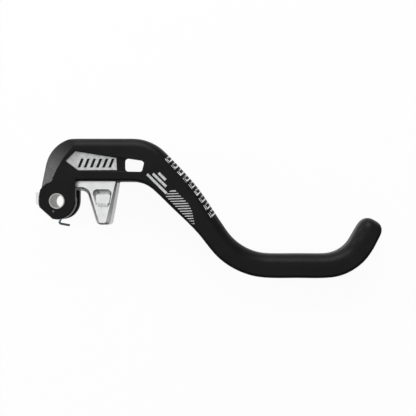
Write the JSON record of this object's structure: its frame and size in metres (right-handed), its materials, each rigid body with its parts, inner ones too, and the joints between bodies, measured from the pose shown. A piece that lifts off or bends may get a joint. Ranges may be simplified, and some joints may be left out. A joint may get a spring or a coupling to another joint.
{
  "type": "bicycle brake lever",
  "caption": "Black lever blade for one finger with a silver push rocker, pivot sleeve, return spring and reach screw. It swings on the brake body's pivot pin.",
  "frame": {"origin": "on the pivot axis, at the middle of the blade's thickness", "axes": "+Z along the pivot, +X towards the blade's tip, +Y away from the handlebar; the lever lies flat on its rear face"},
  "size_m": [0.1054, 0.0424, 0.012],
  "materials": {
    "black_blade": "satin black anodised",
    "bare_aluminium": "bead blasted",
    "bright_steel": "turned",
    "spring_steel": "oiled wire",
    "dark_steel": "black oxide",
    "nylon": "matte"
  },
  "bodies": {
    "blade": {"lever_blade": "black_blade", "pivot_sleeve": "bright_steel", "front_washer": "bright_steel", "rear_washer": "bright_steel", "return_spring": "spring_steel"},
    "rocker": {"rocker": "bare_aluminium"},
    "thrust": {"thrust_ball": "bright_steel"},
    "screw": {"reach_screw": "dark_steel", "lock_pellet": "nylon"}
  },
  "joints": [
    {"name": "screw_travel", "type": "slide", "parent": "blade", "child": "thrust", "axis": [0, 1, 0], "range_m": [-0.00085, 0.00085]},
    {"name": "screw_turn", "type": "hinge", "parent": "thrust", "child": "screw", "pos_m": [0.0137, 0.0151, 0], "axis": [0, 1, 0], "range_deg": [-387, 387]},
    {"name": "rocker_pivot", "type": "hinge", "parent": "blade", "child": "rocker", "pos_m": [0, 0, 0], "axis": [0, 0, 1], "range_deg": [-3.6, 3.6]}
  ],
  "couplings": [
    {"joint": "screw_turn", "follows": "screw_travel", "rad_per_m": 7854},
    {"joint": "rocker_pivot", "follows": "screw_travel", "rad_per_m": 72.993}
  ]
}
